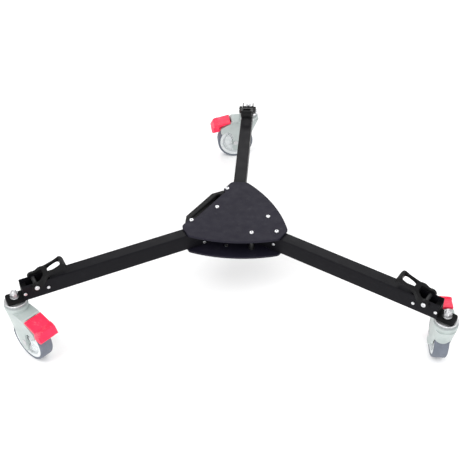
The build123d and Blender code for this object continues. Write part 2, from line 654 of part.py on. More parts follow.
def brake_pedal():
    """Foot pedal with a hooked pad, moulded trunnions and the brake shoe under it."""
    plate_line = Polyline(
        (53.5, 115.5), (54.5, 119.5), (96, 110.0), (97, 104), (86.5, 105.2), close=True
    )
    pad_line = Polyline(
        (86.5, 112.2), (95, 110.2), (99.5, 107.5), (107.5, 92.5), (105.5, 89.8),
        (101.5, 89.0), (88.5, 91.5), (86.5, 93.5), close=True,
    )
    shoe_start, shoe_end = math.radians(62), math.radians(35)
    shoe = [
        (TRAIL + SHOE_RADIUS * math.cos(angle), WHEEL_RADIUS + SHOE_RADIUS * math.sin(angle))
        for angle in (shoe_start, (shoe_start + shoe_end) / 2, shoe_end)
    ]
    web_line = Polyline(shoe[2], (87.0, 84.5), (87.0, 106.0), (54.0, 115.0), (54.0, 103.0), shoe[0])
    web = side_face([web_line, ThreePointArc(*shoe)])
    body = spread(side_face([plate_line]), PEDAL_HALF)
    body += spread(side_face([pad_line]), PEDAL_PAD_HALF)
    body += spread(web, 12.0)
    return body + crosswise(PEDAL_PIN_RADIUS, -PEDAL_PIN_HALF, PEDAL_PIN_HALF, *PEDAL_PIVOT)


# ---- assembly ------------------------------------------------------------------------------------
def build_hub():
    save("top_plate", top_plate())
    save("bottom_plate", bottom_plate())
    save("carry_handle", carry_handle())
    save("handle_screws", handle_screws())
    save("hub_standoffs", hub_standoffs())
    save("standoff_screws", standoff_screws())
    save("inner_arm_bolts", inner_arm_bolts())
    save("pivot_washers", pivot_washers())
    save("fixed_arm_bolt", fixed_arm_bolt())
    save("lock_straps", lock_straps())
    save("lock_strap_screws", lock_strap_screws())
    for name in LOCK_STRAP_END:
        save(f"{name}_lock_knob", lock_knob(name))


def build_arm(name):
    turn = Rot(0, 0, ARM_AZIMUTH[name])
    pieces = {
        "arm_tube": arm_tube(name),
        "pivot_bushing": pivot_bushing(),
        "end_bracket": end_bracket(),
        "side_screws": side_screws(name),
        "clamp_lever": clamp_lever(),
        "lever_bolt": lever_bolt(),
    }
    for piece, shape in pieces.items():
        solids = shape if isinstance(shape, list) else [shape]
        save(f"{name}_{piece}", [turn * solid for solid in solids])


def build_caster(name):
    x, y = on_arm(name, STEM_OUT)
    place = Pos(x, y, 0) * Rot(0, 0, CASTER_YAW[name])
    pieces = {
        "caster_stem": caster_stem(),
        "stem_nut": stem_nut(),
        "swivel_bearing": swivel_bearing(),
        "caster_housing": caster_housing(),
        "wheel_core": wheel_core(),
        "wheel_tread": wheel_tread(),
        "wheel_bearings": wheel_bearings(),
        "wheel_axle": wheel_axle(),
        "brake_pedal": brake_pedal(),
    }
    for piece, shape in pieces.items():
        solids = shape if isinstance(shape, list) else [shape]
        save(f"{name}_{piece}", [place * solid for solid in solids])


os.makedirs("parts", exist_ok=True)
build_hub()
for arm in ARM_AZIMUTH:
    build_arm(arm)
    build_caster(arm)
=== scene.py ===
import bmesh
import bpy
import json
import math
from mathutils import Matrix, Vector


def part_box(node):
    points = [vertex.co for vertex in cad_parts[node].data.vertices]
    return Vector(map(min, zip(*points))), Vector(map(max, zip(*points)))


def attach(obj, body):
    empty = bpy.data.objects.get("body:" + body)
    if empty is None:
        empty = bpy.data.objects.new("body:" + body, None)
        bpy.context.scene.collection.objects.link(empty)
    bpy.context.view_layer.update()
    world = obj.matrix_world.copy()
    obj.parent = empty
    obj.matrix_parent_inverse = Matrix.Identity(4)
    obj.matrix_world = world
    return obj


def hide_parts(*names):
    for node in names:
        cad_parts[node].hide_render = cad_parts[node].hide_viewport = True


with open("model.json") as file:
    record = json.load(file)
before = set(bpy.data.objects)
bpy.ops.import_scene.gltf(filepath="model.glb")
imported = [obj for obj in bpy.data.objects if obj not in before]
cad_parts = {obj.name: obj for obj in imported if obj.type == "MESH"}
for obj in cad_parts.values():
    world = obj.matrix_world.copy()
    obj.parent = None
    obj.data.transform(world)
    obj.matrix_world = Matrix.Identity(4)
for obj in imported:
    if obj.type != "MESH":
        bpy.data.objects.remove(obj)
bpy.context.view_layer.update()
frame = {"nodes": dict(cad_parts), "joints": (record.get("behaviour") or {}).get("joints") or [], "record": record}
NODES = frame["nodes"]
JOINTS = {joint["name"]: joint for joint in frame["joints"]}
SIDES = ("left", "right", "rear")

# Sizes that the nodes' boxes do not give.
MM = 0.001
FIT = 0.05 * MM               # radial clearance on the journal and on the stud
STUD_RADIUS = 5.0 * MM
JOURNAL_RADIUS = 8.0 * MM     # the caster turns on this part of its stem
SLEEVE_RADIUS = 11.0 * MM     # the swivel's sleeve, inside the caster's head
RIVET_RADIUS = 10.0 * MM      # the stem's lower end, spread over
FLANGE_THICKNESS = 4.0 * MM   # the stem's rolled flange, under the bracket
THREAD_PITCH = 1.5 * MM
THREAD_DEPTH = 0.75 * MM
WHEEL_RADIUS = 50.0 * MM
SHOULDER_RADIUS = 4.05 * MM   # the tread's rounded shoulders
CORE_HALF_WIDTH = 15.0 * MM
AXLE_HOLE_RADIUS = 6.0 * MM
BOSS_BORE = 11.1 * MM         # radius of the pocket for a wheel bearing
BOSS_RADIUS = 14.0 * MM
RIB_COUNT = 10
POCKET_SHADE_HALF = 14.0 * MM  # half the bolt's sleeve across the pocket, painted black as painted shade
SOCKET_RADIUS = 2.0 * MM      # the sockets in the hub's screws, filled with painted shade
SOCKET_DEPTH = 2.5 * MM

# Meshing: how near two points are to be one, and which edges count as edges, in degrees.
CAD_WELD = 0.002 * MM
PIECE_WELD = 0.0001 * MM
FLAT_ANGLE = 0.4
ROUNDED_ANGLE = 28.0
SMOOTH_ANGLE = 32.0

# The colour sockets of Blender's mix node.
MIX_SHARE, MIX_FIRST, MIX_SECOND, MIX_RESULT = 0, 6, 7, 2


# ---- materials ---------------------------------------------------------------------------
class Surface:
    """A principled material whose colour, roughness and bump come from procedural nodes."""

    def __init__(self, name, metallic=0.0, coat=0.0, coat_roughness=0.1, specular=0.5):
        self.material = bpy.data.materials.new(name)
        self.material.use_nodes = True
        self.tree = self.material.node_tree
        self.shader = self.tree.nodes["Principled BSDF"]
        self.shader.inputs["Metallic"].default_value = metallic
        self.shader.inputs["Coat Weight"].default_value = coat
        self.shader.inputs["Coat Roughness"].default_value = coat_roughness
        self.shader.inputs["Specular IOR Level"].default_value = specular
        self.place = self.node("ShaderNodeTexCoord").outputs["Object"]
        self.bump_end = None

    def node(self, kind, **settings):
        made = self.tree.nodes.new(kind)
        for key, value in settings.items():
            setattr(made, key, value)
        return made

    def link(self, start, end):
        self.tree.links.new(start, end)

    def turned(self, angle):
        """Coordinates turned about Z, so that X runs along an arm at that angle."""
        turn = self.node("ShaderNodeMapping")
        turn.inputs["Rotation"].default_value = (0, 0, -angle)
        self.link(self.place, turn.inputs["Vector"])
        return turn.outputs["Vector"]

    def stretched(self, angle, scale):
        """Turned coordinates, stretched for a grain that runs one way."""
        squeeze = self.node("ShaderNodeMapping")
        squeeze.inputs["Scale"].default_value = scale
        self.link(self.turned(angle), squeeze.inputs["Vector"])
        return squeeze.outputs["Vector"]

    def noise(self, scale, detail=4.0, roughness=0.5, place=None):
        made = self.node("ShaderNodeTexNoise")
        made.inputs["Scale"].default_value = scale
        made.inputs["Detail"].default_value = detail
        made.inputs["Roughness"].default_value = roughness
        self.link(place or self.place, made.inputs["Vector"])
        return made.outputs["Fac"]

    def ramp(self, value, first, second):
        """One colour turning into another; each end is (value, colour)."""
        made = self.node("ShaderNodeValToRGB")
        for point, (place, colour) in zip(made.color_ramp.elements, (first, second)):
            point.position = place
            point.color = (*colour, 1.0)
        self.link(value, made.inputs["Fac"])
        return made.outputs["Color"]

    def mottled(self, dark, light, scale, detail, roughness=0.5):
        """Two tones of one colour in soft patches."""
        return self.ramp(self.noise(scale, detail, roughness), (0.3, dark), (0.7, light))

    def spread(self, value, low, high, start=0.3, end=0.7):
        """A value between start and end, mapped to low to high."""
        made = self.node("ShaderNodeMapRange")
        made.inputs["From Min"].default_value = start
        made.inputs["From Max"].default_value = end
        made.inputs["To Min"].default_value = low
        made.inputs["To Max"].default_value = high
        self.link(value, made.inputs["Value"])
        return made.outputs["Result"]

    def plain(self, colour):
        made = self.node("ShaderNodeRGB")
        made.outputs[0].default_value = (*colour, 1.0)
        return made.outputs[0]

    def blend(self, share, first, second):
        """first where share is 0, second where it is 1."""
        made = self.node("ShaderNodeMix", data_type="RGBA")
        self.link(share, made.inputs[MIX_SHARE])
        self.link(first, made.inputs[MIX_FIRST])
        self.link(second, made.inputs[MIX_SECOND])
        return made.outputs[MIX_RESULT]

    def total(self, first, second):
        """The two colours added."""
        made = self.node("ShaderNodeMix", data_type="RGBA", blend_type="ADD")
        made.inputs[MIX_SHARE].default_value = 1.0
        self.link(first, made.inputs[MIX_FIRST])
        self.link(second, made.inputs[MIX_SECOND])
        return made.outputs[MIX_RESULT]

    def scuffed(self, colour, bare, amount, scale=55.0):
        """Sparse rubbed patches, broken up by a finer noise."""
        patch = self.node("ShaderNodeMath", operation="MULTIPLY")
        self.link(self.spread(self.noise(scale, 6.0, 0.65), 0.0, amount, 0.54, 0.74), patch.inputs[0])
        self.link(self.spread(self.noise(scale * 9.0, 4.0, 0.7), 0.0, 1.0, 0.45, 0.62), patch.inputs[1])
        return self.blend(patch.outputs[0], colour, self.plain(bare))

    def colour(self, socket):
        self.link(socket, self.shader.inputs["Base Color"])

    def roughness(self, low, high, scale, detail):
        """Roughness that wanders between low and high."""
        self.link(self.spread(self.noise(scale, detail), low, high), self.shader.inputs["Roughness"])

    def bump(self, socket, strength, distance):
        made = self.node("ShaderNodeBump")
        made.inputs["Strength"].default_value = strength
        made.inputs["Distance"].default_value = distance
        self.link(socket, made.inputs["Height"])
        if self.bump_end is not None:
            self.link(self.bump_end, made.inputs["Normal"])
        self.bump_end = made.outputs["Normal"]
        self.link(self.bump_end, self.shader.inputs["Normal"])


def powder_coat():
    """The hub plates: fine-textured dark paint."""
    skin = Surface("plate_powder_coat", specular=0.12)
    base = skin.mottled((0.0088, 0.0078, 0.0150), (0.0118, 0.0106, 0.0190), 14.0, 5.0)
    fleck = skin.ramp(skin.noise(2600.0, 2.0), (0.56, (0.0, 0.0, 0.0)), (0.75, (0.006, 0.006, 0.008)))
    skin.colour(skin.scuffed(skin.total(base, fleck), (0.05, 0.05, 0.055), 0.5))
    skin.roughness(0.46, 0.60, scale=60.0, detail=6.0)
    skin.bump(skin.noise(900.0, 3.0), 0.22, 0.0002)
    return skin.material


def anodised(side, angle):
    """An arm tube: satin black with a faint grain along its length."""
    skin = Surface("arm_finish_" + side, specular=0.07)
    grain = skin.noise(60.0, 5.0, 0.6, skin.stretched(angle, (0.6, 22.0, 22.0)))
    base = skin.ramp(grain, (0.3, (0.0042, 0.0041, 0.0054)), (0.75, (0.0072, 0.0070, 0.0090)))
    skin.colour(skin.scuffed(base, (0.024, 0.024, 0.028), 0.4))
    skin.roughness(0.34, 0.47, scale=35.0, detail=6.0)
    skin.bump(grain, 0.10, 0.0001)
    skin.bump(skin.noise(1500.0, 2.0), 0.06, 0.0001)
    return skin.material


def cast_black():
    """The end brackets: painted casting with a slightly pebbled skin."""
    skin = Surface("bracket_cast", specular=0.06)
    base = skin.mottled((0.0035, 0.0035, 0.0040), (0.0060, 0.0060, 0.0068), 40.0, 5.0)
    skin.colour(skin.scuffed(base, (0.03, 0.03, 0.032), 0.4))
    skin.roughness(0.42, 0.58, scale=90.0, detail=6.0)
    skin.bump(skin.noise(650.0, 4.0), 0.30, 0.0003)
    return skin.material


def moulded_black():
    """Levers, handle and knobs: glass-filled nylon with a spark-eroded grain."""
    skin = Surface("moulded_black", specular=0.09)
    base = skin.mottled((0.0038, 0.0038, 0.0042), (0.0065, 0.0065, 0.0070), 30.0, 6.0)
    skin.colour(skin.scuffed(base, (0.022, 0.022, 0.023), 0.4))
    skin.roughness(0.34, 0.52, scale=120.0, detail=5.0)
    skin.bump(skin.noise(1100.0, 4.0), 0.25, 0.00025)
    return skin.material


def zinc(name, tone, low, high):
    """Plated or ground steel: cloudy in faint patches, with a fine grain."""
    skin = Surface(name, metallic=1.0)
    light = tuple(tone * share for share in (1.0, 1.0, 1.01))
    dark = tuple(tone * share for share in (0.84, 0.85, 0.88))
    skin.colour(skin.mottled(dark, light, 220.0, 5.0))
    skin.roughness(low, high, scale=500.0, detail=4.0)
    skin.bump(skin.noise(2400.0, 2.0), 0.08, 0.00005)
    return skin.material


def bolt_steel_and_pocket_shade(side, angle):
    """The lever's bolt: bright heads outside the tube; its sleeve across the pocket is painted shade."""
    skin = Surface("lever_bolt_" + side, specular=0.3)
    split = skin.node("ShaderNodeSeparateXYZ")
    skin.link(skin.turned(angle), split.inputs["Vector"])
    away = skin.node("ShaderNodeMath", operation="ABSOLUTE")
    skin.link(split.outputs["Y"], away.inputs[0])
    outside = skin.spread(away.outputs[0], 0.0, 1.0, POCKET_SHADE_HALF, POCKET_SHADE_HALF + 0.6 * MM)
    steel = skin.mottled((0.60, 0.61, 0.63), (0.72, 0.72, 0.73), 220.0, 5.0)
    # painted shade: the sleeve inside the pocket is coloured near-black where the pocket's shadow falls
    black = skin.mottled((0.006, 0.006, 0.007), (0.012, 0.012, 0.013), 90.0, 5.0)
    skin.colour(skin.blend(outside, black, steel))
    skin.link(outside, skin.shader.inputs["Metallic"])
    skin.roughness(0.34, 0.48, scale=500.0, detail=4.0)
    skin.bump(skin.noise(2400.0, 2.0), 0.08, 0.00005)
    return skin.material


def caster_plastic(name, light, dark):
    """Pale moulded nylon, softly clouded, with a little grime."""
    skin = Surface(name)
    flow = skin.mottled(dark, light, 18.0, 6.0, 0.6)
    skin.colour(skin.scuffed(flow, (0.20, 0.19, 0.18), 0.4, 40.0))
    skin.roughness(0.35, 0.51, scale=110.0, detail=5.0)
    skin.bump(skin.noise(1300.0, 3.0), 0.14, 0.0002)
    return skin.material


def tread_rubber():
    """Soft tread: matt, with fine scuffs and picked-up dust."""
    skin = Surface("tread_rubber")
    base = skin.ramp(skin.noise(45.0, 6.0, 0.6), (0.3, (0.090, 0.104, 0.132)), (0.72, (0.135, 0.152, 0.188)))
    scuff = skin.spread(skin.noise(420.0, 6.0, 0.75), 0.0, 0.35, 0.56, 0.80)
    skin.colour(skin.blend(scuff, base, skin.plain((0.36, 0.37, 0.39))))
    skin.roughness(0.52, 0.74, scale=90.0, detail=5.0)
    skin.bump(skin.noise(1500.0, 4.0), 0.22, 0.0002)
    return skin.material


def pedal_red():
    """Brake pedals: coloured nylon, a little scuffed."""
    skin = Surface("pedal_red", coat=0.04, coat_roughness=0.3, specular=0.25)
    base = skin.mottled((0.80, 0.016, 0.060), (0.95, 0.030, 0.090), 26.0, 6.0, 0.6)
    skin.colour(skin.scuffed(base, (0.98, 0.34, 0.38), 0.8))
    skin.roughness(0.34, 0.52, scale=130.0, detail=5.0)
    skin.bump(skin.noise(1100.0, 3.0), 0.16, 0.0002)
    return skin.material


AZIMUTH = {}
for side in SIDES:
    stem = JOINTS[side + "_caster_swivel"]["pos_m"]
    AZIMUTH[side] = math.atan2(stem[1], stem[0])

ARM_FINISH = {side: anodised(side, AZIMUTH[side]) for side in SIDES}
# the lever bolts' materials carry painted shade across the pockets
BOLT_STEEL_AND_POCKET_SHADE = {side: bolt_steel_and_pocket_shade(side, AZIMUTH[side]) for side in SIDES}
FINISH = {
    "plate_paint": powder_coat(),
    "bracket_finish": cast_black(),
    "black_moulding": moulded_black(),
    "bright_screws": zinc("screw_zinc", 0.70, 0.36, 0.50),
    "zinc_steel": zinc("stem_zinc", 0.58, 0.30, 0.46),
    # dark steel also paints the shade in the hub screws' sockets
    "dark_steel": zinc("dark_steel", 0.10, 0.34, 0.50),
    "bearing_steel": zinc("bearing_steel", 0.66, 0.16, 0.28),
    "swivel_grey": caster_plastic("swivel_grey", (0.36, 0.39, 0.39), (0.29, 0.32, 0.32)),
    "caster_grey": caster_plastic("caster_grey", (0.43, 0.47, 0.46), (0.33, 0.38, 0.37)),
    "wheel_rim": caster_plastic("wheel_rim", (0.66, 0.69, 0.70), (0.58, 0.61, 0.62)),
    "blue_grey_tread": tread_rubber(),
    "pedal_red": pedal_red(),
}
SLOT_OF = {part["node"]: part["material_slot"] for part in frame["record"]["subparts"]}
BODY_OF = {
    node: body for body, nodes in frame["record"]["behaviour"]["bodies"].items() for node in nodes
}


def finish_of(node):
    slot = SLOT_OF[node]
    if slot == "arm_finish":
        return ARM_FINISH[node.split("_")[0]]
    if node.endswith("_lever_bolt"):
        return BOLT_STEEL_AND_POCKET_SHADE[node.split("_")[0]]
    return FINISH[slot]


def paint(obj, material):
    obj.data.materials.clear()
    obj.data.materials.append(material)


# ---- making pieces -----------------------------------------------------------------------
def stand_for(obj, node):
    """obj takes over from a CAD node: its body and its finish."""
    paint(obj, finish_of(node))
    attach(obj, BODY_OF[node])
    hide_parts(node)


def add_piece(obj, body, material):
    paint(obj, material)
    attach(obj, body)


def smooth(mesh, angle=SMOOTH_ANGLE):
    """Smooth shading, broken at edges sharper than the angle."""
    mesh.shade_smooth()
    mesh.set_sharp_from_angle(angle=math.radians(angle))


def softened(node, width, segments=3):
    """A copy of a CAD solid with its sharp edges rounded off, as moulding and coating leave them."""
    mesh = NODES[node].data.copy()
    mesh.name = node + "_rounded"
    bm = bmesh.new()
    bm.from_mesh(mesh)
    bmesh.ops.remove_doubles(bm, verts=bm.verts, dist=CAD_WELD)
    bmesh.ops.dissolve_limit(bm, angle_limit=math.radians(FLAT_ANGLE), verts=bm.verts, edges=bm.edges)
    bm.to_mesh(mesh)
    bm.free()
    if "custom_normal" in mesh.attributes:
        mesh.attributes.remove(mesh.attributes["custom_normal"])
    smooth(mesh)
    piece = bpy.data.objects.new(node + "_rounded", mesh)
    bpy.context.scene.collection.objects.link(piece)
    rounding = piece.modifiers.new("rounded edges", "BEVEL")
    rounding.width = width
    rounding.segments = segments
    rounding.limit_method = "ANGLE"
    rounding.angle_limit = math.radians(ROUNDED_ANGLE)
    rounding.use_clamp_overlap = True
    rounding.harden_normals = True
    rounding.miter_outer = "MITER_ARC"
    stand_for(piece, node)
    return piece


def islands(bm):
    """The separate solids of a mesh, as lists of faces."""
    waiting = set(bm.faces)
    while waiting:
        group = [waiting.pop()]
        for face in group:
            for edge in face.edges:
                for other in edge.link_faces:
                    if other in waiting:
                        waiting.remove(other)
                        group.append(other)
        yield group


def middle_of(points):
    """The middle, in plan, of the box round some points."""
    xs = [point.x for point in points]
    ys = [point.y for point in points]
    return Vector(((min(xs) + max(xs)) / 2, (min(ys) + max(ys)) / 2))


def paint_socket_shade(piece):
    """Painted shade in the sockets of screws that point down. One that points up gets it on its tip."""
    # painted shade: the faces inside each socket take the dark steel
    piece.data.materials.append(FINISH["dark_steel"])
    bm = bmesh.new()
    bm.from_mesh(piece.data)
    for group in islands(bm):
        points = [vert.co for face in group for vert in face.verts]
        floor = max(point.z for point in points) - SOCKET_DEPTH
        middle = middle_of(points)
        for face in group:
            inside = all((vert.co.xy - middle).length < SOCKET_RADIUS for vert in face.verts)
            if inside and face.calc_center_median().z > floor:
                face.material_index = 1
    bm.to_mesh(piece.data)
    bm.free()


def mesh_piece(name, verts, faces, angle=40.0):
    """A new object from points and faces, welded, with its faces turned outwards."""
    mesh = bpy.data.meshes.new(name)
    mesh.from_pydata([tuple(vert) for vert in verts], [], faces)
    mesh.validate()
    bm = bmesh.new()
    bm.from_mesh(mesh)
    bmesh.ops.remove_doubles(bm, verts=bm.verts, dist=PIECE_WELD)
    bmesh.ops.recalc_face_normals(bm, faces=bm.faces)
    bm.to_mesh(mesh)
    bm.free()
    smooth(mesh, angle)
    obj = bpy.data.objects.new(name, mesh)
    bpy.context.scene.collection.objects.link(obj)
    return obj


def round_corners(points, radius, steps=3):
    """A polyline of (radius, height) points with every corner but its two ends rounded."""
    result = [points[0]]
    for before, at, after in zip(points, points[1:], points[2:]):
        corner = Vector(at)
        to_before = Vector(before) - corner
        to_after = Vector(after) - corner
        cut = min(radius, 0.45 * to_before.length, 0.45 * to_after.length)
        start = corner + to_before.normalized() * cut
        end = corner + to_after.normalized() * cut
        for step in range(steps + 1):
            share = step / steps
            point = start * (1 - share) ** 2 + corner * 2 * share * (1 - share) + end * share**2
            result.append((point.x, point.y))
    result.append(points[-1])
    return result


def ring(count, height, radius_at):
    """Points round the Z axis; radius_at gives the radius at an angle."""
    points = []
    for step in range(count):
        angle = 2 * math.pi * step / count
        radius = radius_at(angle)
        points.append(Vector((radius * math.cos(angle), radius * math.sin(angle), height)))
    return points


def bands(rows, count, start=0):
    """The quads between rings of count points that follow each other from vertex start."""
    faces = []
    for row in range(rows - 1):
        for step in range(count):
            here = start + row * count + step
            beside = start + row * count + (step + 1) % count
            faces.append((here, beside, beside + count, here + count))
    return faces


def lathe(profile, place, count=96):
    """A profile of (radius, height) points turned about the place matrix's Z axis."""
    verts = [
        place @ point for radius, height in profile for point in ring(count, height, lambda angle: radius)
    ]
    return verts, bands(len(profile), count)


def upright_at(pos, height=0.0):
    return Matrix.Translation((pos[0], pos[1], height))


def wheel_place(side):
    """A matrix whose Z axis is the wheel's axle and whose origin is the wheel's centre."""
    joint = JOINTS[side + "_wheel_roll"]
    turn = Vector((0, 0, 1)).rotation_difference(Vector(joint["axis"])).to_matrix().to_4x4()
    return Matrix.Translation(joint["pos_m"]) @ turn


def core_radius(side):
    low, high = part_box(side + "_wheel_core")
    return (high.z - low.z) / 2


def plan_radius(node):
    """The radius of a node that is round in plan."""
    low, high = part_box(node)
    return (high.x - low.x) / 2


def stepped_ring(side):
    """The swivel's cover: two stepped rings with a shadow line between them, on a sleeve."""
    node = side + "_swivel_bearing"
    low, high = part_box(node)
    place = upright_at(JOINTS[side + "_caster_swivel"]["pos_m"])
    outer = plan_radius(node)
    upper = outer - 0.7 * MM
    waist = outer - 2.2 * MM
    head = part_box(side + "_caster_housing")[1].z
    bore = JOURNAL_RADIUS + FIT
    profile = round_corners([
        (bore, low.z), (SLEEVE_RADIUS, low.z), (SLEEVE_RADIUS, head), (outer, head),
        (outer, head + 2.0 * MM), (waist, head + 2.1 * MM),
        (waist, head + 3.1 * MM), (upper, head + 3.2 * MM),
        (upper, high.z), (bore, high.z),
    ], 0.35 * MM)
    verts, faces = lathe(profile + [profile[0]], place, 120)
    obj = mesh_piece(side + "_stepped_ring", verts, faces)
    stand_for(obj, node)


def flange_nut(side):
    """A chamfered hexagon on a round flange, with a locking collar on top."""
    node = side + "_stem_nut"
    low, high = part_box(node)
    place = upright_at(JOINTS[side + "_caster_swivel"]["pos_m"], low.z)
    count = 120
    flange = plan_radius(node)
    apothem = flange - 1.6 * MM
    collar = flange - 2.8 * MM
    bore = STUD_RADIUS + FIT
    top = high.z - low.z

    def circle(height, radius):
        return ring(count, height, lambda angle: radius)

    def hexagon(height, cap):
        """A hexagon whose corners are cut off at the radius cap."""
        def radius_at(angle):
            from_middle = (angle + math.pi / 6) % (math.pi / 3) - math.pi / 6
            return min(apothem / math.cos(from_middle), cap)
        return ring(count, height, radius_at)

    chamfer = 10.4 * MM
    hexagon_top = 12.0 * MM
    rows = [
        circle(0.0, bore),
        circle(0.0, flange - 0.3 * MM),
        circle(0.3 * MM, flange),
        circle(1.4 * MM, flange),
        circle(1.8 * MM, flange - 0.2 * MM),
        hexagon(2.2 * MM, flange - 0.4 * MM),
    ]
    # The chamfer brings the corners from their full size, 1.155 apothems, to little more than one.
    steps = 8
    for step in range(steps + 1):
        share = step / steps
        height = chamfer + (hexagon_top - chamfer) * share
        rows.append(hexagon(height, apothem * (1.156 - 0.14 * share ** 1.3)))
    rows += [
        circle(hexagon_top + 0.2 * MM, collar + 0.2 * MM),
        circle(hexagon_top + 0.5 * MM, collar),
        circle(15.0 * MM, collar - 0.1 * MM),
        circle(top - 0.35 * MM, collar - 0.4 * MM),
        circle(top, collar - 1.0 * MM),
        circle(top, STUD_RADIUS + 0.3 * MM),
        circle(top - 1.2 * MM, bore),
    ]
    verts = [place @ point for row in rows for point in row]
    obj = mesh_piece(side + "_flange_nut", verts, bands(len(rows), count), 26.0)
    stand_for(obj, node)


def threaded_stem(side):
    """The caster's stem: a riveted journal, a rolled flange and a threaded stud."""
    node = side + "_caster_stem"
    low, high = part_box(node)
    place = upright_at(JOINTS[side + "_caster_swivel"]["pos_m"])
    flange = plan_radius(node)
    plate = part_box(side + "_end_bracket")[0].z
    profile = round_corners([
        (0.0, low.z), (RIVET_RADIUS, low.z), (RIVET_RADIUS, low.z + 2.0 * MM),
        (JOURNAL_RADIUS, low.z + 2.2 * MM), (JOURNAL_RADIUS, plate - FLANGE_THICKNESS),
        (flange - 1.0 * MM, plate - FLANGE_THICKNESS), (flange, plate - 3.2 * MM),
        (flange, plate - 0.8 * MM), (flange - 1.0 * MM, plate), (STUD_RADIUS, plate),
    ], 0.5 * MM)
    verts, faces = lathe(profile, place)

    count = 48
    start = len(verts)
    length = high.z - plate
    levels_per_turn = 8
    levels = int(length / (THREAD_PITCH / levels_per_turn))
    tip_length = 1.2 * MM
    tip_cut = 0.9 * MM

    def thread_radius(height, angle):
        """A helical groove, on a stud that tapers at its tip."""
        phase = (height / THREAD_PITCH - angle / (2 * math.pi)) % 1.0
        taper = tip_cut * max(0.0, 1 - (high.z - height) / tip_length)
        return STUD_RADIUS - taper - THREAD_DEPTH * (1 - abs(2 * phase - 1)) ** 0.8

    for level in range(levels + 1):
        height = plate + length * level / levels
        verts += [place @ point for point in ring(count, height, lambda angle: thread_radius(height, angle))]
    faces += bands(levels + 1, count, start)
    faces.append(tuple(start + levels * count + step for step in range(count)))
    obj = mesh_piece(side + "_threaded_stem", verts, faces)
    stand_for(obj, node)


def turned_tread(side):
    """A slightly crowned tread with round shoulders and a fine mould line round its middle."""
    node = side + "_wheel_tread"
    rim = core_radius(side)
    mould_line = [(WHEEL_RADIUS - 0.18 * MM, 0.0), (WHEEL_RADIUS, 0.35 * MM)]
    crown = [(WHEEL_RADIUS - 0.01 * MM, 3.5 * MM), (WHEEL_RADIUS - 0.04 * MM, 7.5 * MM)]
    centre_radius = 45.85 * MM
    centre_height = 11.9 * MM
    shoulder = []
    steps = 14
    for step in range(steps + 1):
        angle = math.pi / 2 * step / steps
        shoulder.append((
            centre_radius + SHOULDER_RADIUS * math.cos(angle),
            centre_height + SHOULDER_RADIUS * math.sin(angle),
        ))
    inside = [(rim + 0.7 * MM, CORE_HALF_WIDTH + 0.7 * MM), (rim, CORE_HALF_WIDTH)]
    upper = mould_line + crown + shoulder + inside
    lower = [(radius, -height) for radius, height in reversed(upper)]
    verts, faces = lathe(lower + upper[1:] + [lower[0]], wheel_place(side), 160)
    obj = mesh_piece(side + "_moulded_tread", verts, faces, 50.0)
    stand_for(obj, node)


def rib(turn, way, disc, start):
    """A tapered rib from the boss to the disc's edge on one face of the wheel, as (verts, faces)."""
    sections = (
        (BOSS_RADIUS + 0.2 * MM, 10.4 * MM, 1.0 * MM), (BOSS_RADIUS + 0.4 * MM, 14.2 * MM, 0.75 * MM),
        (disc - 1.6 * MM, 12.4 * MM, 0.75 * MM), (disc - 0.8 * MM, 10.4 * MM, 1.0 * MM),
    )
    verts = [
        turn @ Vector((radius, edge * half, way * height))
        for radius, height, half in sections for edge in (-1, 1)
    ]
    corners = [
        (0, 2, 3, 1), (2, 4, 5, 3), (4, 6, 7, 5),
        (0, 2, 4, 6), (1, 3, 5, 7), (6, 0, 1, 7),
    ]
    return verts, [tuple(start + corner for corner in face) for face in corners]


def moulded_core(side):
    """The wheel's moulding: raised rim, groove, dished disc and bearing boss, with ribs."""
    node = side + "_wheel_core"
    place = wheel_place(side)
    rim = core_radius(side)
    groove = rim - 8.5 * MM
    disc = rim - 13.5 * MM
    web = 8.0 * MM
    face = CORE_HALF_WIDTH
    outer = round_corners([
        (BOSS_BORE, web), (BOSS_BORE, face), (BOSS_RADIUS, face),
        (BOSS_RADIUS + 0.6 * MM, 11.6 * MM), (disc - 1.0 * MM, 11.2 * MM), (disc + 0.3 * MM, 8.4 * MM),
        (groove - 0.8 * MM, web), (groove + 0.3 * MM, 14.4 * MM), (groove + 2.0 * MM, face),
        (rim - 1.6 * MM, face), (rim, 14.2 * MM), (rim, 0.0),
    ], 0.8 * MM, 4)
    lower = [(radius, -height) for radius, height in reversed(outer)]
    bore = [(AXLE_HOLE_RADIUS, -web), (AXLE_HOLE_RADIUS, web)]
    verts, faces = lathe(bore + outer + lower[1:] + [bore[0]], place, 128)
    # The ribs on the two faces are turned against each other.
    for way, first_angle in ((1, 0.0), (-1, 0.16)):
        for number in range(RIB_COUNT):
            angle = first_angle + 2 * math.pi * number / RIB_COUNT
            turn = place @ Matrix.Rotation(angle, 4, "Z")
            more_verts, more_faces = rib(turn, way, disc, len(verts))
            verts += more_verts
            faces += more_faces
    obj = mesh_piece(side + "_moulded_core", verts, faces)
    stand_for(obj, node)


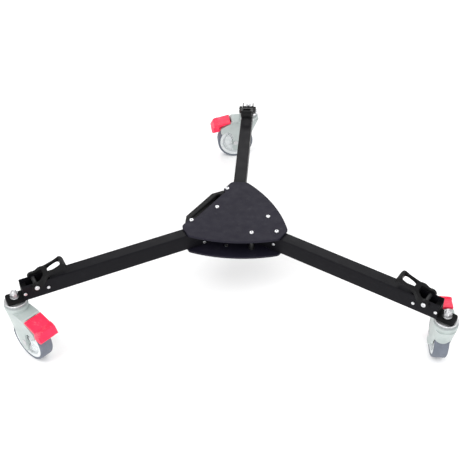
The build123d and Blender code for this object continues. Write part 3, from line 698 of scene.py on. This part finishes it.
def pedal_ribs(side):
    """Four round grip bars across the pedal's sloping toe pad."""
    press = JOINTS[side + "_pedal_press"]
    across = Vector(press["axis"])
    up = Vector((0, 0, 1))
    along = across.cross(up)
    pivot = Vector(press["pos_m"])
    bar_radius = 0.75 * MM
    bar_half = 19.0 * MM
    steps = 14
    verts = []
    faces = []
    for bar in range(4):
        out = (31.2 + 2.7 * bar) * MM
        height = (5.40 - 0.64 * bar) * MM
        start = len(verts)
        for end in (-bar_half, bar_half):
            for point in ring(steps, 0.0, lambda angle: bar_radius):
                verts.append(pivot + along * (out + point.x) + up * (height + point.y) + across * end)
        faces += bands(2, steps, start)
        faces.append(tuple(start + step for step in range(steps)))
        faces.append(tuple(start + steps + step for step in range(steps)))
    obj = mesh_piece(side + "_pedal_grip", verts, faces)
    rounding = obj.modifiers.new("rounded ends", "BEVEL")
    rounding.width = 0.35 * MM
    rounding.segments = 2
    rounding.limit_method = "ANGLE"
    add_piece(obj, side + "_pedal", FINISH["pedal_red"])


# ---- the pieces --------------------------------------------------------------------------
for node, obj in NODES.items():
    paint(obj, finish_of(node))

HUB_ROUNDING = {"top_plate": 0.7, "bottom_plate": 0.7, "carry_handle": 1.4, "lock_straps": 0.4}
for node, width in HUB_ROUNDING.items():
    softened(node, width * MM)
for node in ("handle_screws", "standoff_screws", "fixed_arm_bolt", "lock_strap_screws"):
    # the sockets of these screws get painted shade
    paint_socket_shade(softened(node, 0.15 * MM, 2))
softened("inner_arm_bolts", 0.22 * MM, 2)
for side in ("left", "rear"):
    softened(side + "_lock_knob", 0.6 * MM)
for side in SIDES:
    softened(side + "_arm_tube", 0.45 * MM)
    softened(side + "_end_bracket", 0.8 * MM)
    softened(side + "_side_screws", 0.25 * MM, 2)
    softened(side + "_clamp_lever", 1.1 * MM)
    softened(side + "_lever_bolt", 0.3 * MM, 2)
    softened(side + "_caster_housing", 0.9 * MM)
    stepped_ring(side)
    softened(side + "_wheel_axle", 0.3 * MM, 2)
    softened(side + "_brake_pedal", 1.2 * MM)
    flange_nut(side)
    threaded_stem(side)
    turned_tread(side)
    moulded_core(side)
    pedal_ribs(side)


# ---- floor, light and camera -------------------------------------------------------------
def area_light(name, place, target_height, size, power):
    """A rectangular light aimed at a point above the origin."""
    data = bpy.data.lights.new(name, "AREA")
    data.shape = "RECTANGLE"
    data.size, data.size_y = size
    data.energy = power
    light = bpy.data.objects.new(name, data)
    light.location = place
    aim = Vector((0, 0, target_height)) - Vector(place)
    light.rotation_euler = aim.to_track_quat("-Z", "Y").to_euler()
    bpy.context.scene.collection.objects.link(light)


def pale_floor():
    mesh = bpy.data.meshes.new("floor")
    reach = 12.0
    corners = [(-reach, -reach, 0), (reach, -reach, 0), (reach, reach, 0), (-reach, reach, 0)]
    mesh.from_pydata(corners, [], [(0, 1, 2, 3)])
    floor = bpy.data.objects.new("floor", mesh)
    bpy.context.scene.collection.objects.link(floor)
    skin = Surface("floor_paper")
    skin.colour(skin.mottled((0.90, 0.90, 0.90), (0.93, 0.93, 0.93), 3.0, 4.0))
    skin.roughness(0.80, 0.92, scale=20.0, detail=4.0)
    skin.bump(skin.noise(300.0, 4.0), 0.05, 0.0005)
    paint(floor, skin.material)


def studio():
    world = bpy.data.worlds.new("studio")
    bpy.context.scene.world = world
    world.use_nodes = True
    sky = world.node_tree.nodes["Background"]
    sky.inputs["Color"].default_value = (1.0, 1.0, 1.0, 1.0)
    sky.inputs["Strength"].default_value = 0.85
    area_light("key", (-1.6, -1.2, 2.6), 0.10, (2.0, 2.0), 46.0)
    area_light("fill", (1.9, -0.9, 2.0), 0.10, (2.0, 1.6), 20.0)
    area_light("back", (0.2, 2.6, 2.2), 0.10, (2.8, 1.4), 34.0)
    area_light("front", (0.1, -2.8, 0.9), 0.12, (1.6, 0.7), 30.0)


def camera():
    """Looks down from the front at about 39 degrees, a little to the right of the -Y axis."""
    pitch = math.radians(39.42)
    roll = math.radians(-0.656)
    turn = Matrix.Rotation(math.radians(4.571), 3, "Z")
    place = turn @ Vector((-0.01416, -1.54377, 1.40603))
    ahead = turn @ Vector((0, math.cos(pitch), -math.sin(pitch)))
    level = turn @ Vector((1, 0, 0))
    steep = level.cross(ahead)
    right = math.cos(roll) * level + math.sin(roll) * steep
    up = math.cos(roll) * steep - math.sin(roll) * level
    data = bpy.data.cameras.new("camera")
    data.sensor_width = 36.0
    data.lens = 66.464
    data.clip_start = 0.05
    data.clip_end = 60.0
    view = bpy.data.objects.new("camera", data)
    view.matrix_world = Matrix((
        (right.x, up.x, -ahead.x, place.x),
        (right.y, up.y, -ahead.y, place.y),
        (right.z, up.z, -ahead.z, place.z),
        (0, 0, 0, 1),
    ))
    bpy.context.scene.collection.objects.link(view)
    bpy.context.scene.camera = view


pale_floor()
studio()
camera()
bpy.context.scene.view_settings.view_transform = "Standard"
